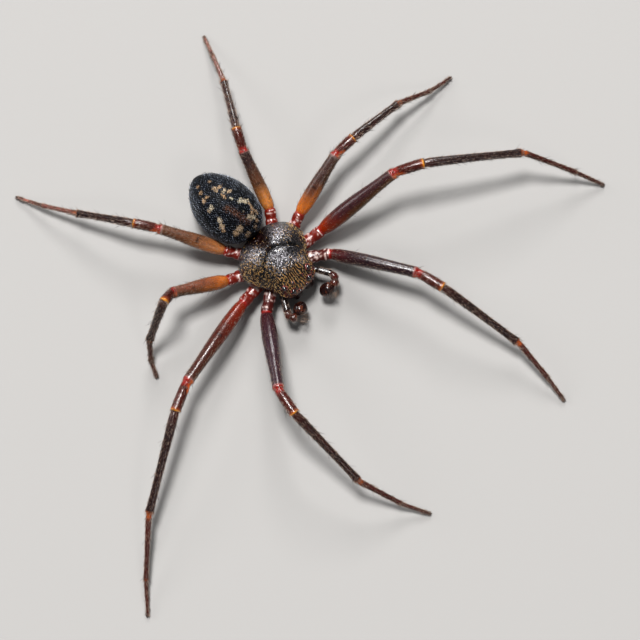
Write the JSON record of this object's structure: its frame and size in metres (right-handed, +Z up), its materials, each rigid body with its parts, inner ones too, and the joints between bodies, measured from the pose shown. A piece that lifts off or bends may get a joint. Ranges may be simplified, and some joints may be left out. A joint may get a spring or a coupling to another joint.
{
  "type": "male crab spider",
  "caption": "Still, life-size model of a male crab spider standing with its long legs spread flat: round shield, egg-shaped abdomen, swollen palps.",
  "frame": {"origin": "on the floor, under the middle of the footprint", "axes": "+Z up, the head towards -Y, the animal's left side towards +X"},
  "size_m": [0.0286, 0.0238, 0.0033],
  "materials": {
    "shield": "black, finely grained shell with a grey sheen and short golden hairs",
    "abdomen": "blue-black skin with dense short hairs and irregular cream spots",
    "front_legs": "glossy red-brown shell, darker towards the foot, with bristles",
    "rear_legs": "glossy amber shell, darker towards the foot, with bristles",
    "palps": "glossy dark red shell with long hairs on the swollen end",
    "jaws": "glossy dark brown shell",
    "eyes": "polished black beads"
  },
  "bodies": {
    "root": {"cephalothorax": "shield", "abdomen": "abdomen", "spinnerets": "abdomen", "eye_anterior_median_left": "eyes", "eye_anterior_median_right": "eyes", "eye_anterior_lateral_left": "eyes", "eye_anterior_lateral_right": "eyes", "eye_posterior_median_left": "eyes", "eye_posterior_median_right": "eyes", "eye_posterior_lateral_left": "eyes", "eye_posterior_lateral_right": "eyes", "chelicera_left": "jaws", "chelicera_right": "jaws", "palp_left": "palps", "palp_right": "palps", "leg_1_left": "front_legs", "leg_1_right": "front_legs", "leg_2_left": "front_legs", "leg_2_right": "front_legs", "leg_3_left": "rear_legs", "leg_3_right": "rear_legs", "leg_4_left": "rear_legs", "leg_4_right": "rear_legs"}
  },
  "joints": []
}
